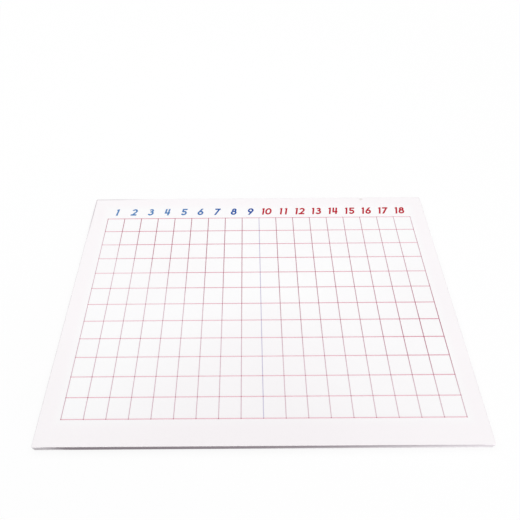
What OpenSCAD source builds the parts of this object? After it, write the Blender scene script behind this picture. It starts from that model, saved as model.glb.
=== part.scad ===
// Subtraction board: a flat white board printed with a ruled grid of squares, one column for each
// number, and a row of slanted numerals over the columns.
// Sizes are in millimetres. X runs along the numerals, from the first to the last. Y runs from the
// front edge to the numerals, and Z is up. The origin is the middle of the underside.

/* [Board] */
// Thickness of the board
board_t = 9; // [4:0.5:25]
// Radius of the board's four corners, seen from above
corner_r = 1.5; // [1.2:0.1:12]
// Radius that eases the upper and lower edges
edge_r = 0.6; // [0.2:0.1:0.9]

/* [Margins] */
// Plain border left of the first column
left_margin = 25; // [12:1:60]
// Plain border right of the last column
right_margin = 23; // [12:1:60]
// Plain border between the last row and the front edge
front_margin = 30; // [12:1:60]
// Border behind the first row, which holds the numerals
back_margin = 41; // [32:1:80]

/* [Grid] */
// Side of one square, measured between the middles of its lines
cell = 25; // [20:0.5:40]
// Number of columns
columns = 18; // [14:1:24]
// Number of rows
rows = 12; // [6:1:20]
// Width of the red lines
line_w = 1; // [0.4:0.1:2]
// Width of the blue line that follows the blue columns
tens_line_w = 1; // [0.4:0.1:2]
// Number of columns with blue numerals, after which the blue line runs
blue_columns = 9; // [6:1:12]

/* [Numerals] */
// Height of the numerals
numeral_h = 13; // [10:0.5:15]
// Width of the printed strokes
stroke_w = 2.5; // [1.2:0.1:2.8]
// Gap from the grid to the foot of the numerals
numeral_gap = 6.5; // [3:0.5:12]
// Slant of the numerals, in degrees
slant = 9; // [0:1:14]
// Outer width of a round bowl, as a share of the height
bowl_share = 0.66; // [0.56:0.01:0.7]
// Width of the nought, as a share of the height
nought_share = 0.74; // [0.6:0.01:0.8]
// Distance between two digits of one number, as a share of the height
pitch_share = 0.58; // [0.58:0.01:0.72]

/* [Ink] */
// Height of the printed ink above the board
ink_t = 0.1; // [0.05:0.01:0.3]

/* [Hidden] */
$fn = 64;

// Places of the board and of the grid on it
board_l = left_margin + columns * cell + right_margin;
board_w = front_margin + rows * cell + back_margin;
grid_l = columns * cell;
grid_w = rows * cell;
grid_x = left_margin - board_l / 2;
grid_y = front_margin - board_w / 2;
tens_line_x = grid_x + blue_columns * cell;
numeral_y = grid_y + grid_w + numeral_gap;

// Bowls of the digits: radii run along the middle of the stroke
bowl_w = bowl_share * numeral_h;
nought_w = nought_share * numeral_h;
digit_pitch = pitch_share * numeral_h;
big_r = (bowl_w - stroke_w) / 2;
small_r = (numeral_h - stroke_w) / 2 - big_r;
low_y = stroke_w / 2 + big_r;
high_y = numeral_h - stroke_w / 2 - small_r;
waist_y = low_y + big_r;

// Proportions of single digits, as shares of the height or of the stroke
flag_w = 0.1 * numeral_h;
flag_h = 0.19 * numeral_h;
bar_y = 0.27 * numeral_h;
arm_w = 0.6 * numeral_h;
seven_w = 0.64 * numeral_h;
seven_foot_x = -0.29 * numeral_h;
nine_foot_x = -0.23 * numeral_h;
stem_inset = 1.35 * stroke_w;
neck_inset = 0.35 * stroke_w;
sector_angle = 60;
mouth_angle = 160;
neck_angle = 140;
leg_point_angle = 12;

// Colours of the white surface and of the two inks
white_coat = [0.96, 0.94, 0.95];
red_ink = [0.78, 0.10, 0.22];
pink_ink = [0.80, 0.40, 0.52];
blue_ink = [0.22, 0.42, 0.76];
pale_blue_ink = [0.62, 0.70, 0.84];

// Half section of the board's edge, from the centre of a corner outwards, with eased edges
module edge_section() {
    translate([0, edge_r]) square([corner_r, board_t - 2 * edge_r]);
    square([corner_r - edge_r, board_t]);
    for (y = [edge_r, board_t - edge_r])
        translate([corner_r - edge_r, y]) circle(edge_r);
}

// One straight side of the board, along X, with its edge towards -Y
module side(length) {
    rotate([90, 0, -90]) translate([0, 0, -length / 2]) linear_extrude(length) edge_section();
}

// Board: a flat core with the edge section run along its sides and turned at its corners
module board() {
    core_l = board_l - 2 * corner_r;
    core_w = board_w - 2 * corner_r;
    color(white_coat) {
        translate([-core_l / 2, -core_w / 2, 0]) cube([core_l, core_w, board_t]);
        for (turn = [0, 180])
            rotate(turn) {
                translate([0, -core_w / 2, 0]) side(core_l);
                translate([core_l / 2, 0, 0]) rotate(90) side(core_w);
                translate([core_l / 2, core_w / 2, 0]) rotate_extrude(angle = 90) edge_section();
                translate([core_l / 2, -core_w / 2, 0]) rotate(-90) rotate_extrude(angle = 90)
                    edge_section();
            }
    }
}

// Layer of ink on the board, in the shape of its 2D children
module ink() {
    translate([0, 0, board_t]) linear_extrude(ink_t) children();
}

// Red lines: every row line, and every column line but the blue one
module red_grid_lines() {
    color(pink_ink) ink() {
        for (row = [0:rows])
            translate([grid_x - line_w / 2, grid_y + row * cell - line_w / 2])
                square([grid_l + line_w, line_w]);
        for (column = [0:columns])
            if (column != blue_columns)
                translate([grid_x + column * cell - line_w / 2, grid_y])
                    square([line_w, grid_w]);
    }
}

// Blue line after the blue columns: it stops at each row line, which crosses it
module blue_tens_line() {
    color(pale_blue_ink) ink()
        for (row = [0:rows - 1])
            translate([tens_line_x - tens_line_w / 2, grid_y + row * cell + line_w / 2])
                square([tens_line_w, cell - line_w]);
}

// Angle on a circle where a line from the point touches it, anticlockwise of the point
function touch_angle(centre, radius, point) =
    atan2(point.y - centre.y, point.x - centre.x) + acos(radius / norm(point - centre));

function on_circle(centre, radius, angle) = centre + radius * [cos(angle), sin(angle)];

// Ring of stroke width about a centre
module ring(centre, radius) {
    translate(centre) difference() {
        circle(radius + stroke_w / 2);
        circle(radius - stroke_w / 2);
    }
}

// Part of a ring between two angles, less than a full turn apart
module arc(centre, radius, from, to) {
    steps = ceil((to - from) / sector_angle);
    reach = 2 * (radius + stroke_w);
    intersection() {
        ring(centre, radius);
        polygon([
            centre,
            for (i = [0:steps]) on_circle(centre, reach, from + i * (to - from) / steps)
        ]);
    }
}

// Straight leg that leaves a bowl on its right and ends level at the foot line, at foot_left
// Its upper end is a point inside the bowl's stroke
module leg(centre, radius, foot_left) {
    angle = touch_angle(centre, radius - stroke_w / 2, foot_left);
    polygon([
        foot_left,
        foot_left + [stroke_w / cos(angle), 0],
        on_circle(centre, radius + stroke_w / 2, angle),
        on_circle(centre, radius, angle + leg_point_angle),
        on_circle(centre, radius - stroke_w / 2, angle)
    ]);
}

// Level bar and upright bar of stroke width, from a lower left corner
module level_bar(x, y, length) {
    translate([x, y]) square([length, stroke_w]);
}

module upright_bar(x, y, length) {
    translate([x, y]) square([stroke_w, length]);
}

module digit_0() {
    difference() {
        translate([0, numeral_h / 2]) scale([nought_w / numeral_h, 1]) circle(numeral_h / 2);
        translate([0, numeral_h / 2])
            scale([(nought_w - 2 * stroke_w) / (numeral_h - 2 * stroke_w), 1])
                circle(numeral_h / 2 - stroke_w);
    }
}

module digit_1() {
    upright_bar(-stroke_w / 2, 0, numeral_h);
    polygon([
        [0, numeral_h],
        [-stroke_w / 2, numeral_h],
        [-stroke_w / 2 - flag_w, numeral_h - flag_h / 2],
        [-stroke_w / 2 - flag_w, numeral_h - flag_h],
        [0, numeral_h - flag_h]
    ]);
}

module digit_2() {
    centre = [0, numeral_h - stroke_w / 2 - big_r];
    foot_left = [-bowl_w / 2, 0];
    arc(centre, big_r, touch_angle(centre, big_r - stroke_w / 2, foot_left), mouth_angle);
    leg(centre, big_r, foot_left);
    level_bar(-bowl_w / 2, 0, bowl_w);
}

module digit_3() {
    arc([0, high_y], small_r, -90, mouth_angle);
    arc([0, low_y], big_r, -mouth_angle, 90);
    level_bar(-stroke_w / 2, waist_y - stroke_w / 2, stroke_w / 2);
}

module digit_4() {
    upright_bar(-arm_w / 2, bar_y, numeral_h - bar_y);
    level_bar(-arm_w / 2, bar_y, arm_w);
    upright_bar(arm_w / 2 - stem_inset, 0, numeral_h);
}

module digit_5() {
    neck_x = -bowl_w / 2 + neck_inset;
    neck_y = low_y + big_r * sin(neck_angle);
    arc([0, low_y], big_r, -mouth_angle, neck_angle);
    upright_bar(neck_x, neck_y, numeral_h - neck_y);
    level_bar(neck_x, numeral_h - stroke_w, bowl_w - stroke_w / 2);
}

module digit_6() {
    translate([0, numeral_h]) rotate(180) digit_9();
}

module digit_7() {
    run = seven_w / 2 - stroke_w - seven_foot_x;
    leg_w = stroke_w * norm([run, numeral_h]) / numeral_h;
    level_bar(-seven_w / 2, numeral_h - stroke_w, seven_w);
    polygon([
        [seven_foot_x, 0],
        [seven_foot_x + leg_w, 0],
        [seven_w / 2, numeral_h],
        [seven_w / 2 - leg_w, numeral_h]
    ]);
}

module digit_8() {
    ring([0, low_y], big_r);
    ring([0, high_y], small_r);
}

module digit_9() {
    centre = [0, numeral_h - stroke_w / 2 - big_r];
    ring(centre, big_r);
    leg(centre, big_r, [nine_foot_x, 0]);
}

module digit(value) {
    if (value == 0) digit_0();
    if (value == 1) digit_1();
    if (value == 2) digit_2();
    if (value == 3) digit_3();
    if (value == 4) digit_4();
    if (value == 5) digit_5();
    if (value == 6) digit_6();
    if (value == 7) digit_7();
    if (value == 8) digit_8();
    if (value == 9) digit_9();
}

function digit_w(value) = value == 1 ? stroke_w : value == 0 ? nought_w : bowl_w;

// A number of one or two digits, centred on X by its widths, with its foot at Y = 0
module number(value) {
    units = value % 10;
    tens = floor(value / 10);
    spread = digit_pitch + (digit_w(units) - digit_w(tens)) / 2;
    if (tens == 0)
        digit(units);
    else {
        translate([-spread / 2, 0]) digit(tens);
        translate([digit_pitch - spread / 2, 0]) digit(units);
    }
}

// Numbers from first to last, each leaning about the middle of its height over its column
module number_row(first, last) {
    lean = tan(slant);
    for (value = [first:last])
        translate([grid_x + (value - 0.5) * cell, numeral_y])
            multmatrix([[1, lean, 0, -lean * numeral_h / 2], [0, 1, 0, 0], [0, 0, 1, 0]])
                number(value);
}

module blue_numerals() {
    color(blue_ink) ink() number_row(1, blue_columns);
}

module red_numerals() {
    color(red_ink) ink() number_row(blue_columns + 1, columns);
}

board();
red_grid_lines();
blue_tens_line();
blue_numerals();
red_numerals();
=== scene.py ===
import math

import bpy
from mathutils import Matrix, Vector


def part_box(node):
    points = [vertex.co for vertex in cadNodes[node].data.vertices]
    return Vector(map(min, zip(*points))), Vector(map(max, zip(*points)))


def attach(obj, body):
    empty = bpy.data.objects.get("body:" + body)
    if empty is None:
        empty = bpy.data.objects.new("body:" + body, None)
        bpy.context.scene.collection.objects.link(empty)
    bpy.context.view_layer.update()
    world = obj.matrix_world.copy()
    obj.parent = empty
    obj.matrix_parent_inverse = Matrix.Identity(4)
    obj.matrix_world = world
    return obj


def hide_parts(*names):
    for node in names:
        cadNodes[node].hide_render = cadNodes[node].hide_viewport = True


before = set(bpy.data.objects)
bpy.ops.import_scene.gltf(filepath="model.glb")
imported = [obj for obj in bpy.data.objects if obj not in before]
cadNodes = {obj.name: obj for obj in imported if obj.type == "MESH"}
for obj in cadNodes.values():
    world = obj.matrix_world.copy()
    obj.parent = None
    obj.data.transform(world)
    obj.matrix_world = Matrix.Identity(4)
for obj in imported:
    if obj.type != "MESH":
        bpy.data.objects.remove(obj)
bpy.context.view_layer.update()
print("frame loaded:", ", ".join(sorted(cadNodes)))


# Small helpers for node trees

def feed(tree, socket, value):  # another node's output is linked, anything else is set
    if isinstance(value, bpy.types.NodeSocket):
        tree.links.new(value, socket)
    elif socket.type == "RGBA":
        socket.default_value = (*value[:3], 1.0)
    else:
        socket.default_value = value


def addNode(tree, kind, feeds=None, **settings):
    node = tree.nodes.new(kind)
    for name, value in settings.items():
        setattr(node, name, value)
    for key, value in (feeds or {}).items():
        feed(tree, node.inputs[key], value)
    return node


def startGroup(name, kind, inputs, outputs):
    tree = bpy.data.node_groups.new(name, kind)
    for direction, sockets in (("INPUT", inputs), ("OUTPUT", outputs)):
        for socketName, socketKind, *value in sockets:
            socket = tree.interface.new_socket(
                name=socketName, in_out=direction, socket_type="NodeSocket" + socketKind)
            if value:
                socket.default_value = value[0]
    return tree, addNode(tree, "NodeGroupInput").outputs, addNode(tree, "NodeGroupOutput").inputs


def calc(tree, operation, *values, clamp=False):
    feeds = dict(enumerate(values))
    return addNode(tree, "ShaderNodeMath", feeds, operation=operation, use_clamp=clamp).outputs[0]


def hypotenuse(tree, *sides):
    squares = [calc(tree, "POWER", side, 2.0) for side in sides]
    return calc(tree, "SQRT", calc(tree, "ADD", *squares))


def distance(tree, place, target):
    feeds = {0: place, 1: target}
    return addNode(tree, "ShaderNodeVectorMath", feeds, operation="DISTANCE").outputs["Value"]


def ramp(tree, value, low, high, lowOut=0.0, highOut=1.0):
    feeds = {"Value": value, "From Min": low, "From Max": high, "To Min": lowOut, "To Max": highOut}
    return addNode(tree, "ShaderNodeMapRange", feeds, interpolation_type="SMOOTHSTEP").outputs["Result"]


def mixColours(tree, share, first, second):
    return addNode(tree, "ShaderNodeMix", {0: share, 6: first, 7: second}, data_type="RGBA").outputs[2]


def mixNumbers(tree, share, first, second):
    return addNode(tree, "ShaderNodeMix", {0: share, 2: first, 3: second}, data_type="FLOAT").outputs[0]


def mixShaders(tree, share, first, second):
    feeds = {0: share, 1: first.outputs[0], 2: second.outputs[0]}
    return addNode(tree, "ShaderNodeMixShader", feeds)


def noise(tree, place, scale, detail=2.0, roughness=0.5):
    feeds = {"Vector": place, "Scale": scale, "Detail": detail, "Roughness": roughness}
    return addNode(tree, "ShaderNodeTexNoise", feeds).outputs["Fac"]


def objectPlace(tree):
    return addNode(tree, "ShaderNodeTexCoord").outputs["Object"]


def stretched(tree, place, scale, turn=0.0):
    feeds = {"Vector": place, "Rotation": (0.0, 0.0, turn), "Scale": scale}
    return addNode(tree, "ShaderNodeMapping", feeds).outputs["Vector"]


def separated(tree, vector):
    return addNode(tree, "ShaderNodeSeparateXYZ", {"Vector": vector}).outputs


def combined(tree, **parts):
    return addNode(tree, "ShaderNodeCombineXYZ", parts).outputs["Vector"]


# Measures of the board and its grid, worked out from the frame

gridCounts = {"columns": 18, "rows": 12, "blueColumns": 9}

boardLow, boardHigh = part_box("board")
redLow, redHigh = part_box("red_grid_lines")
tensLow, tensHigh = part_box("blue_tens_line")
redSpan = redHigh - redLow
cell = (redSpan.x - redSpan.y) / (gridCounts["columns"] - gridCounts["rows"])
lineWidth = redSpan.x - gridCounts["columns"] * cell
gridCorner = Vector((redLow.x + lineWidth / 2, redLow.y + lineWidth / 2, redLow.z))
printHigh = Vector((redHigh.x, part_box("red_numerals")[1].y, redHigh.z))  # the grid and its row of numerals
printMiddle = (redLow + printHigh) / 2
printSpan = printHigh - redLow
print("square side %.2f mm, line width %.2f mm" % (cell * 1000, lineWidth * 1000))


# Coating grain: the fine orange peel, faint clouds and scuffs of the sprayed white surface

coatGrainValues = {
    "peelDetail": 1.5,
    "speckFineness": 4.0,                   # specks are so many times finer than the peel,
    "speckHeight": 0.15,                    # and this much as high
    "cloudDetail": 3.0,
    "cloudRange": (0.3, 0.7),
    "scuffStretch": (14.0, 260.0, 1.0),     # long faint scuffs along the rows, a little askew
    "scuffTurn": 0.35,
    "scuffDetail": 4.0,
    "scuffRange": (0.56, 0.72),
    "scuffRoughness": 0.12,
    "roughness": (0.36, 0.44),
}


def makeCoatGrain(values):
    tree, given, results = startGroup("coatGrain", "ShaderNodeTree", [
        ("Peel Size", "Float", 0.003),
        ("Cloud Size", "Float", 0.12),
        ("Scuff Amount", "Float", 0.3),
    ], [("Height", "Float"), ("Cloud", "Float"), ("Roughness", "Float")])
    place = objectPlace(tree)
    peelScale = calc(tree, "DIVIDE", 1.0, given["Peel Size"])
    cloudScale = calc(tree, "DIVIDE", 1.0, given["Cloud Size"])
    peel = noise(tree, place, peelScale, values["peelDetail"])
    speck = noise(tree, place, calc(tree, "MULTIPLY", peelScale, values["speckFineness"]))
    height = calc(tree, "ADD", peel, calc(tree, "MULTIPLY", speck, values["speckHeight"]))
    cloud = ramp(tree, noise(tree, place, cloudScale, values["cloudDetail"]), *values["cloudRange"])
    streaks = stretched(tree, place, values["scuffStretch"], values["scuffTurn"])
    scuff = ramp(tree, noise(tree, streaks, 1.0, values["scuffDetail"]), *values["scuffRange"])
    scuffed = calc(tree, "MULTIPLY", scuff, given["Scuff Amount"])
    rougher = calc(tree, "MULTIPLY", scuffed, values["scuffRoughness"])
    roughness = calc(tree, "ADD", ramp(tree, cloud, 0.0, 1.0, *values["roughness"]), rougher)
    feed(tree, results["Height"], height)
    feed(tree, results["Cloud"], cloud)
    feed(tree, results["Roughness"], roughness)
    return tree


# Ink film: uneven cover, a slow fade across the sheet, one fuller place and a fine grain

inkFilmValues = {
    "patchNoise": (420.0, 3.0),             # scale and detail
    "patchRange": (0.35, 0.75),
    "grainScale": 2600.0,
    "grainRange": (0.3, 0.7),
    "roughness": (0.48, 0.62),
}


def makeInkFilm(values):
    tree, given, results = startGroup("inkFilm", "ShaderNodeTree", [
        ("Full Colour", "Color", (0.5, 0.0, 0.0, 1.0)),
        ("Thin Colour", "Color", (0.8, 0.3, 0.3, 1.0)),
        ("Thinning", "Float", 0.3),
        ("Fade Direction", "Vector", (1.0, 0.0, 0.0)),
        ("Fade Centre", "Vector", (0.0, 0.0, 0.0)),
        ("Fade Round", "Float", 0.0),
        ("Fade Start", "Float", -0.2),
        ("Fade End", "Float", 0.2),
        ("Fade", "Float", 0.0),
        ("Full Place", "Vector", (0.0, 0.0, 0.0)),
        ("Full Reach", "Float", 0.1),
        ("Full Share", "Float", 0.0),
    ], [("Colour", "Color"), ("Roughness", "Float"), ("Height", "Float")])
    place = objectPlace(tree)
    patches = ramp(tree, noise(tree, place, *values["patchNoise"]), *values["patchRange"])
    grain = noise(tree, place, values["grainScale"])
    uneven = calc(tree, "MULTIPLY", given["Thinning"], calc(tree, "MULTIPLY", patches, grain))

    feeds = {0: place, 1: given["Fade Direction"]}
    along = addNode(tree, "ShaderNodeVectorMath", feeds, operation="DOT_PRODUCT").outputs["Value"]
    away = calc(tree, "MULTIPLY", distance(tree, place, given["Fade Centre"]), given["Fade Round"])
    travelled = calc(tree, "ADD", along, away)
    gone = ramp(tree, travelled, given["Fade Start"], given["Fade End"])
    fromFull = distance(tree, place, given["Full Place"])
    spared = ramp(tree, fromFull, 0.0, given["Full Reach"], given["Full Share"], 0.0)
    kept = calc(tree, "SUBTRACT", 1.0, spared)
    faded = calc(tree, "MULTIPLY", calc(tree, "MULTIPLY", gone, given["Fade"]), kept)

    share = calc(tree, "ADD", uneven, faded, clamp=True)
    feed(tree, results["Colour"], mixColours(tree, share, given["Full Colour"], given["Thin Colour"]))
    feed(tree, results["Roughness"], ramp(tree, grain, *values["grainRange"], *values["roughness"]))
    feed(tree, results["Height"], grain)
    return tree


coatGrain = makeCoatGrain(coatGrainValues)
inkFilm = makeInkFilm(inkFilmValues)
print("shader groups ready")


def startMaterial(name):
    material = bpy.data.materials.new(name)
    material.use_nodes = True
    tree = material.node_tree
    return material, tree, tree.nodes["Principled BSDF"]


def addBump(tree, shader, height, strength, depth):
    bump = addNode(tree, "ShaderNodeBump", {"Height": height, "Strength": strength, "Distance": depth})
    feed(tree, shader.inputs["Normal"], bump.outputs["Normal"])


# White board

boardFinish = {
    "white": (0.916, 0.917, 0.917),
    "border": (0.912, 0.880, 0.892),        # warmer white of the bare border round the print
    "borderFade": (-0.004, 0.012),
    "pinkCloud": (0.912, 0.882, 0.893),
    "cloudStrength": 0.35,
    "frontShadeTone": (0.84, 0.80, 0.815),     # painted shade at the middle of the front
    "frontShadePlace": (-0.01, -0.21),
    "frontShadeReach": (0.04, 0.25),
    "frontShadeStrength": 0.5,
    "edgeShadeTone": (0.36, 0.31, 0.346),        # painted shade on the side faces, a dark grey-mauve
    "edgeDepth": (0.000125, 0.0005),
    "edgeRoughness": 0.85,
    "edgeUnshadedTone": (0.95, 0.90, 0.935),     # the painted edge shade gives way to painted light towards the right,
    "rightShadeFade": (0.055, 0.35),
    "rightShadeSlope": 18.0,                     # sooner at the lower rim,
    "cornerShadeFade": (0.003, 0.028),          # and near the corners, further along at the lower rim
    "cornerShadeSlope": 2.5,
    "fibreTone": (0.42, 0.36, 0.38),        # fibres of the core that show through the edge coat
    "fibreStretch": (28.0, 28.0, 800.0),
    "fibreNoise": (1.0, 4.0, 0.6),          # scale, detail and roughness
    "fibreRange": (0.42, 0.68),
    "fibreStrength": 0.22,
    "fibreRelief": -1.5,
    "rimShadeTone": (0.60, 0.545, 0.575),        # painted shade along the rim at the far left corner
    "rimShadeWidth": (0.0011, 0.0022),
    "rimShadeReach": (0.02375, 0.095),
    "rimShadeStrength": 0.9,
    "markColour": (0.42, 0.34, 0.27),       # brown mark at the back edge
    "markPlace": (0.1585, 0.1815),
    "markSize": (0.0034, 0.0026),
    "markRange": (0.7, 1.9),
    "markNoise": (700.0, 3.0),              # scale and detail
    "markRaggedness": 1.2,
    "markStrength": 0.32,
    "peelSize": 0.0032,
    "cloudSize": 0.13,
    "scuffs": 0.35,
    "bumpStrength": 0.12,
    "bumpDepth": 0.00004,
}


def faceColour(tree, place, parts, cloud, values):
    past = []
    for axis in (0, 1):
        fromMiddle = calc(tree, "ABSOLUTE", calc(tree, "SUBTRACT", parts[axis], printMiddle[axis]))
        past.append(calc(tree, "SUBTRACT", fromMiddle, printSpan[axis] / 2))
    bare = ramp(tree, calc(tree, "MAXIMUM", *past), *values["borderFade"])
    white = mixColours(tree, bare, values["white"], values["border"])
    clouded = calc(tree, "MULTIPLY", cloud, values["cloudStrength"])
    clean = mixColours(tree, clouded, white, values["pinkCloud"])
    # Painted shade: the face turns greyer towards the middle of the front
    fromFrontShade = distance(tree, place, (*values["frontShadePlace"], boardHigh.z))
    frontShade = ramp(tree, fromFrontShade, *values["frontShadeReach"], values["frontShadeStrength"], 0.0)
    return mixColours(tree, frontShade, clean, values["frontShadeTone"])


# Painted shade: a darker rim that fades out away from the far left corner
def rimShadeColour(tree, place, fromRim, face, values):
    fromCorner = distance(tree, place, (boardLow.x, boardHigh.y, boardHigh.z))
    nearCorner = ramp(tree, fromCorner, *values["rimShadeReach"], values["rimShadeStrength"], 0.0)
    rim = ramp(tree, fromRim, *values["rimShadeWidth"], 1.0, 0.0)
    return mixColours(tree, calc(tree, "MULTIPLY", rim, nearCorner), face, values["rimShadeTone"])


# Painted shade on the side faces: dark towards the left, lighter towards the right and near the corners,
# with fibres of the core showing through
def shadedEdgeColour(tree, parts, fromSides, fibre, values):
    lowered = calc(tree, "SUBTRACT", boardHigh.z, parts[2])
    rightward = calc(tree, "ADD", parts[0], calc(tree, "MULTIPLY", lowered, values["rightShadeSlope"]))
    toRight = ramp(tree, rightward, *values["rightShadeFade"])
    fromCorner = hypotenuse(tree, *fromSides)
    cornerward = calc(tree, "SUBTRACT", fromCorner, calc(tree, "MULTIPLY", lowered, values["cornerShadeSlope"]))
    toCorner = ramp(tree, cornerward, *values["cornerShadeFade"], 1.0, 0.0)
    unshaded = calc(tree, "MAXIMUM", toRight, toCorner)
    shadedEdge = mixColours(tree, unshaded, values["edgeShadeTone"], values["edgeUnshadedTone"])
    shown = calc(tree, "MULTIPLY", fibre, values["fibreStrength"])
    return mixColours(tree, shown, shadedEdge, values["fibreTone"])


def markedColour(tree, place, parts, coat, values):
    sides = []
    for axis in (0, 1):
        fromMark = calc(tree, "SUBTRACT", parts[axis], values["markPlace"][axis])
        sides.append(calc(tree, "DIVIDE", fromMark, values["markSize"][axis]))
    grain = noise(tree, place, *values["markNoise"])
    torn = calc(tree, "MULTIPLY", grain, values["markRaggedness"])
    ragged = calc(tree, "ADD", hypotenuse(tree, *sides), torn)
    mark = ramp(tree, ragged, *values["markRange"], values["markStrength"], 0.0)
    return mixColours(tree, mark, coat, values["markColour"])


def makeWhiteCoat(values):
    material, tree, shader = startMaterial("whiteCoat")
    grain = addNode(tree, "ShaderNodeGroup", {
        "Peel Size": values["peelSize"],
        "Cloud Size": values["cloudSize"],
        "Scuff Amount": values["scuffs"],
    }, node_tree=coatGrain).outputs
    place = objectPlace(tree)
    parts = separated(tree, place)
    fromSides = [
        calc(tree, "SUBTRACT", boardHigh[axis], calc(tree, "ABSOLUTE", parts[axis]))
        for axis in (0, 1)
    ]
    fromRim = calc(tree, "MINIMUM", *fromSides)
    edge = ramp(tree, fromRim, *values["edgeDepth"], 1.0, 0.0)
    strands = stretched(tree, place, values["fibreStretch"])
    fibre = ramp(tree, noise(tree, strands, *values["fibreNoise"]), *values["fibreRange"])

    face = faceColour(tree, place, parts, grain["Cloud"], values)
    rimShaded = rimShadeColour(tree, place, fromRim, face, values)
    # The side faces take the painted edge shade
    coat = mixColours(tree, edge, rimShaded, shadedEdgeColour(tree, parts, fromSides, fibre, values))
    feed(tree, shader.inputs["Base Color"], markedColour(tree, place, parts, coat, values))
    roughness = mixNumbers(tree, edge, grain["Roughness"], values["edgeRoughness"])
    feed(tree, shader.inputs["Roughness"], roughness)
    height = mixNumbers(tree, edge, grain["Height"], calc(tree, "MULTIPLY", fibre, values["fibreRelief"]))
    addBump(tree, shader, height, values["bumpStrength"], values["bumpDepth"])
    return material


# Inks

redLineFade = {  # the red lines are fullest at the back and in one place at the right
    "Thinning": 0.35, "Fade": 1.0, "Fade Start": 0.225, "Fade End": 0.308,
    "Fade Direction": (-0.86, 0.31, 0.0), "Fade Centre": (-0.21, 0.165, 0.0), "Fade Round": 1.0,
    "Full Place": (0.215, -0.042, 0.0), "Full Reach": 0.10, "Full Share": 0.8,
}
inkFinishes = {
    "rowLineInk": {
        "Full Colour": (0.63, 0.165, 0.26), "Thin Colour": (0.79, 0.47, 0.54), **redLineFade,
    },
    "columnLineInk": {
        "Full Colour": (0.365, 0.04, 0.115), "Thin Colour": (0.65, 0.47, 0.53), **redLineFade,
    },
    "paleBlueLineInk": {
        "Full Colour": (0.51, 0.47, 0.63), "Thin Colour": (0.64, 0.61, 0.73), "Thinning": 0.35,
        "Fade Direction": (0.0, -1.0, 0.0), "Fade Start": -0.16, "Fade End": 0.16, "Fade": 0.25,
    },
    "blueInk": {
        "Full Colour": (0.004, 0.056, 0.32), "Thin Colour": (0.09, 0.24, 0.50), "Thinning": 0.12,
        "Fade Direction": (-1.0, 0.0, 0.0), "Fade Start": -0.01, "Fade End": 0.16, "Fade": 0.9,
    },
    "redInk": {"Full Colour": (0.48, 0.0, 0.018), "Thin Colour": (0.62, 0.05, 0.10), "Thinning": 0.05},
}
inkSurface = {  # dry ink mirrors less than the coat
    "gloss": 0.1,
    "grainStrength": 0.1,
    "grainDepth": 0.00002,
}
crossings = {  # where a row line is printed over a column line
    "ink": "rowLineInk",
    "colour": (0.34, 0.03, 0.08),
    "strength": 0.8,
    "softness": (0.8, 1.2),                 # in half widths of a line
}


def darkenCrossings(tree, colour, values):
    parts = separated(tree, objectPlace(tree))
    squares = calc(tree, "DIVIDE", calc(tree, "SUBTRACT", parts[0], gridCorner.x), cell)
    fromColumn = calc(tree, "PINGPONG", squares, 0.5)
    inner, outer = [lineWidth / cell / 2 * share for share in values["softness"]]
    over = ramp(tree, fromColumn, inner, outer, values["strength"], 0.0)
    return mixColours(tree, over, colour, values["colour"])


def makeInk(name, values):
    material, tree, shader = startMaterial(name)
    film = addNode(tree, "ShaderNodeGroup", values, node_tree=inkFilm).outputs
    colour = film["Colour"]
    if name == crossings["ink"]:
        colour = darkenCrossings(tree, colour, crossings)
    feed(tree, shader.inputs["Base Color"], colour)
    feed(tree, shader.inputs["Roughness"], film["Roughness"])
    shader.inputs["Specular IOR Level"].default_value = inkSurface["gloss"]
    addBump(tree, shader, film["Height"], inkSurface["grainStrength"], inkSurface["grainDepth"])
    return material


def dress(nodeName, material):
    node = cadNodes[nodeName]
    node.data.materials.clear()
    node.data.materials.append(material)


inks = {name: makeInk(name, values) for name, values in inkFinishes.items()}
dress("board", makeWhiteCoat(boardFinish))
dress("blue_numerals", inks["blueInk"])
dress("red_numerals", inks["redInk"])
print("board and numerals dressed")


# Ruled lines: geometry nodes lay bars at an even pitch, with the slight waver of a printed edge

lineStyle = {
    "waver": 0.00007,                       # widest wander of a printed edge, in metres
    "waverNoise": (90.0, 3.0),              # scale and detail
    "waverSpread": 60.0,                    # parts the two edges of a bar, so that each wanders by itself
    "rowFilm": redHigh.z - redLow.z,        # rows are printed last and lie on top
    "columnFilm": 0.92 * (redHigh.z - redLow.z),
    "tensFilm": 0.84 * (redHigh.z - redLow.z),
    "stepsPerSquare": 5,
}


def inkUp(tree, geometry, ink, chosen=True):
    whole = addNode(tree, "GeometryNodeRealizeInstances", {"Geometry": geometry})
    feeds = {"Geometry": whole.outputs["Geometry"], "Selection": chosen, "Material": ink}
    return addNode(tree, "GeometryNodeSetMaterial", feeds).outputs["Geometry"]


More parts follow.
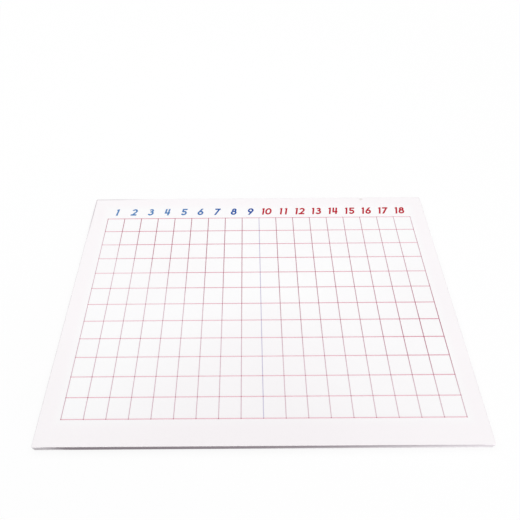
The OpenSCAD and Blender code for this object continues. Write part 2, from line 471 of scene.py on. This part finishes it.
def makeLineRun(values):
    tree, given, results = startGroup("lineRun", "GeometryNodeTree", [
        ("Count", "Int", 2),
        ("Skip", "Int", -1),
        ("Pitch", "Float", 0.025),
        ("Length", "Float", 0.45),
        ("Width", "Float", 0.0008),
        ("Film", "Float", 0.0001),
        ("Steps", "Int", 60),
        ("Waver", "Float", 0.00002),
        ("Seed", "Float", 1.0),
        ("Turn", "Float", 0.0),
        ("Start", "Vector"),
        ("Ink", "Material"),
    ], [("Geometry", "Geometry")])
    tree.is_modifier = True

    points = addNode(tree, "GeometryNodeMeshLine", {
        "Count": given["Count"], "Offset": combined(tree, Y=given["Pitch"]),
    }, mode="OFFSET")
    index = addNode(tree, "GeometryNodeInputIndex").outputs["Index"]
    skipped = addNode(tree, "FunctionNodeCompare", {
        2: index, 3: given["Skip"],
    }, data_type="INT", operation="EQUAL")
    kept = addNode(tree, "GeometryNodeDeleteGeometry", {
        "Geometry": points.outputs["Mesh"], "Selection": skipped.outputs["Result"],
    }, domain="POINT")

    barSize = combined(tree, X=given["Length"], Y=given["Width"], Z=given["Film"])
    bar = addNode(tree, "GeometryNodeMeshCube", {"Size": barSize, "Vertices X": given["Steps"]})
    laid = addNode(tree, "GeometryNodeInstanceOnPoints", {
        "Points": kept.outputs["Geometry"], "Instance": bar.outputs["Mesh"],
    })
    solid = addNode(tree, "GeometryNodeRealizeInstances", {"Geometry": laid.outputs["Instances"]})

    position = addNode(tree, "GeometryNodeInputPosition").outputs["Position"]
    where = addNode(tree, "ShaderNodeVectorMath", {
        0: position, 1: (1.0, values["waverSpread"], 0.0), 2: given["Seed"],
    }, operation="MULTIPLY_ADD").outputs["Vector"]
    grain = noise(tree, where, *values["waverNoise"])
    wander = calc(tree, "SUBTRACT", grain, 0.5)  # to both sides of the edge
    shift = combined(tree, Y=calc(tree, "MULTIPLY", wander, given["Waver"]))
    wavered = addNode(tree, "GeometryNodeSetPosition", {
        "Geometry": solid.outputs["Geometry"], "Offset": shift,
    })

    placed = addNode(tree, "GeometryNodeTransform", {
        "Geometry": wavered.outputs["Geometry"], "Translation": given["Start"],
        "Rotation": combined(tree, Z=given["Turn"]),
    })
    feed(tree, results["Geometry"], inkUp(tree, placed.outputs["Geometry"], given["Ink"]))
    return tree


def makeGridLines(lineRun, rowValues, columnValues):
    tree, given, results = startGroup("gridLines", "GeometryNodeTree", [
        ("Cell", "Float", 0.025),
        ("Width", "Float", 0.0008),
        ("Waver", "Float", 0.00002),
        ("Row Ink", "Material"),
        ("Column Ink", "Material"),
    ], [("Geometry", "Geometry")])
    tree.is_modifier = True

    shared = {
        "Pitch": given["Cell"], "Width": given["Width"], "Waver": given["Waver"],
        "Ink": given["Column Ink"],
    }
    columns, rows = [
        addNode(tree, "GeometryNodeGroup", {**values, **shared}, node_tree=lineRun).outputs["Geometry"]
        for values in (columnValues, rowValues)
    ]
    marked = addNode(tree, "GeometryNodeCaptureAttribute", {"Geometry": rows}, domain="FACE")
    marked.capture_items.new("BOOLEAN", "Row")  # tells rows from columns after the join
    feed(tree, marked.inputs["Row"], True)
    joined = addNode(tree, "GeometryNodeJoinGeometry")
    for run in (columns, marked.outputs["Geometry"]):
        feed(tree, joined.inputs["Geometry"], run)
    inked = inkUp(tree, joined.outputs["Geometry"], given["Row Ink"], marked.outputs["Row"])
    feed(tree, results["Geometry"], inked)
    return tree


def growPiece(name, tree, values):
    holder = bpy.data.objects.new(name + "Holder", bpy.data.meshes.new(name + "Holder"))
    bpy.context.scene.collection.objects.link(holder)
    modifier = holder.modifiers.new("printing", "NODES")
    modifier.node_group = tree
    sockets = {item.name: item.identifier for item in tree.interface.items_tree if item.in_out == "INPUT"}
    for socketName, value in values.items():
        modifier[sockets[socketName]] = value
    depsgraph = bpy.context.evaluated_depsgraph_get()
    mesh = bpy.data.meshes.new_from_object(holder.evaluated_get(depsgraph))
    holder.modifiers.remove(modifier)
    bpy.data.objects.remove(holder)
    mesh.name = name
    piece = bpy.data.objects.new(name, mesh)
    bpy.context.scene.collection.objects.link(piece)
    print("%s: %d faces" % (name, len(mesh.polygons)))
    return piece


gridLength = gridCounts["columns"] * cell
gridDepth = gridCounts["rows"] * cell
rowSteps, columnSteps = [gridCounts[way] * lineStyle["stepsPerSquare"] + 1 for way in ("columns", "rows")]
rowValues = {
    "Count": gridCounts["rows"] + 1, "Skip": -1, "Turn": 0.0, "Seed": 3.0,
    "Length": gridLength + lineWidth, "Film": lineStyle["rowFilm"], "Steps": rowSteps,
    "Start": (gridCorner.x + gridLength / 2, gridCorner.y, gridCorner.z + lineStyle["rowFilm"] / 2),
}
columnValues = {
    "Count": gridCounts["columns"] + 1, "Turn": math.radians(90.0), "Seed": 8.0,
    "Skip": gridCounts["columns"] - gridCounts["blueColumns"],  # the turn counts columns from the right
    "Length": gridDepth, "Film": lineStyle["columnFilm"], "Steps": columnSteps,
    "Start": (gridCorner.x + gridLength, gridCorner.y + gridDepth / 2,
              gridCorner.z + lineStyle["columnFilm"] / 2),
}
tensValues = {
    "Count": 1, "Skip": -1, "Turn": math.radians(90.0), "Seed": 5.0, "Pitch": cell,
    "Width": tensHigh.x - tensLow.x, "Waver": lineStyle["waver"],
    "Length": tensHigh.y - tensLow.y, "Film": lineStyle["tensFilm"], "Steps": columnSteps,
    "Start": ((tensLow.x + tensHigh.x) / 2, (tensLow.y + tensHigh.y) / 2,
              tensLow.z + lineStyle["tensFilm"] / 2),
    "Ink": inks["paleBlueLineInk"],
}

lineRun = makeLineRun(lineStyle)
gridLines = makeGridLines(lineRun, rowValues, columnValues)
redLines = growPiece("printedRedLines", gridLines, {
    "Cell": cell, "Width": lineWidth, "Waver": lineStyle["waver"],
    "Row Ink": inks["rowLineInk"], "Column Ink": inks["columnLineInk"],
})
tensLine = growPiece("printedTensLine", lineRun, tensValues)
for piece, node, slot in ((redLines, "red_grid_lines", "pink_line_ink"),
                          (tensLine, "blue_tens_line", "pale_blue_line_ink")):
    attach(piece, "root")
    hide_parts(node)
print("lines printed")


# Studio: pale floor, soft lamps and a white surround

studio = {
    "floorSide": 6.0,
    "floorGap": 0.0001,                     # how far the floor lies under the board
    "floorSeen": 0.97,                      # how white the floor looks to the camera
    "floorBounce": 0.25,                    # how much light it throws back on the board
    "floorGlow": 0.86,
    "floorFade": (0.45, 1.3),               # where the floor turns into the white surround, past the shadow
    "surround": (0.28, 0.28, 0.285),
    "surroundSeen": (1.0, 1.0, 1.0),
}
lamps = {
    "keyLamp": {
        "place": (-0.12, 0.45, 1.5), "aim": (-0.12, 0.45, 0.0), "size": (3.0, 2.2), "power": 32.5,
        "mirrored": True,
    },
    "fillLamp": {
        "place": (0.55, -1.0, 0.11), "aim": (0.22, -0.18, 0.005), "size": (0.5, 0.16), "power": 4.9,
        "mirrored": False,
    },
}


def seenShare(tree):  # 1 where the camera sees a surface, also in a mirror or through glass
    path = addNode(tree, "ShaderNodeLightPath").outputs
    either = calc(tree, "MAXIMUM", path["Is Camera Ray"], path["Is Glossy Ray"])
    return calc(tree, "MAXIMUM", either, path["Is Transmission Ray"])


def makeFloorFinish(values):
    material, tree = startMaterial("paleFloor")[:2]
    tree.nodes.clear()
    bounce = addNode(tree, "ShaderNodeBsdfDiffuse", {"Color": (values["floorBounce"],) * 3})
    seen = addNode(tree, "ShaderNodeBsdfDiffuse", {"Color": (values["floorSeen"],) * 3})
    glow = addNode(tree, "ShaderNodeEmission")
    away = addNode(tree, "ShaderNodeVectorMath", {0: objectPlace(tree)}, operation="LENGTH")
    white = ramp(tree, away.outputs["Value"], *values["floorFade"], values["floorGlow"], 1.0)
    paper = mixShaders(tree, white, seen, glow)
    floor = mixShaders(tree, seenShare(tree), bounce, paper)
    addNode(tree, "ShaderNodeOutputMaterial", {"Surface": floor.outputs[0]})
    return material


def makeFloor(values):
    half = values["floorSide"] / 2
    height = boardLow.z - values["floorGap"]
    mesh = bpy.data.meshes.new("studioFloor")
    corners = [(-half, -half, height), (half, -half, height), (half, half, height), (-half, half, height)]
    mesh.from_pydata(corners, [], [(0, 1, 2, 3)])
    mesh.materials.append(makeFloorFinish(values))
    floor = bpy.data.objects.new("studioFloor", mesh)
    bpy.context.scene.collection.objects.link(floor)


def makeSurround(values):
    world = bpy.data.worlds.new("softSurround")
    bpy.context.scene.world = world
    world.use_nodes = True
    tree = world.node_tree
    tree.nodes.clear()
    soft = addNode(tree, "ShaderNodeBackground", {"Color": values["surround"]})
    white = addNode(tree, "ShaderNodeBackground", {"Color": values["surroundSeen"]})
    choice = mixShaders(tree, seenShare(tree), soft, white)
    addNode(tree, "ShaderNodeOutputWorld", {"Surface": choice.outputs[0]})


def makeLamp(name, values):
    lamp = bpy.data.lights.new(name, "AREA")
    lamp.shape = "RECTANGLE"
    lamp.size, lamp.size_y = values["size"]
    lamp.energy = values["power"]
    holder = bpy.data.objects.new(name, lamp)
    holder.location = values["place"]
    aim = Vector(values["aim"]) - Vector(values["place"])
    holder.rotation_euler = aim.to_track_quat("-Z", "Y").to_euler()
    holder.visible_camera = False
    holder.visible_glossy = values["mirrored"]
    bpy.context.scene.collection.objects.link(holder)


makeFloor(studio)
makeSurround(studio)
for name, values in lamps.items():
    makeLamp(name, values)
print("studio lit")


# Camera, as the photograph was taken

cameraView = {
    "place": (-0.0127, -0.3403, 0.5383),
    "turn": (37.903, 0.401, -0.244),        # degrees about X, Y and Z
    "lens": 33.21,                          # both in millimetres
    "sensor": 36.0,
    "shift": (0.0218, -0.0070),
}


def makeCamera(values):
    camera = bpy.data.cameras.new("photoCamera")
    camera.sensor_width = values["sensor"]
    camera.lens = values["lens"]
    camera.shift_x, camera.shift_y = values["shift"]
    camera.dof.use_dof = False
    holder = bpy.data.objects.new("photoCamera", camera)
    holder.location = values["place"]
    holder.rotation_euler = [math.radians(angle) for angle in values["turn"]]
    bpy.context.scene.collection.objects.link(holder)
    bpy.context.scene.camera = holder


makeCamera(cameraView)
bpy.context.scene.view_settings.view_transform = "Standard"
print("camera placed")
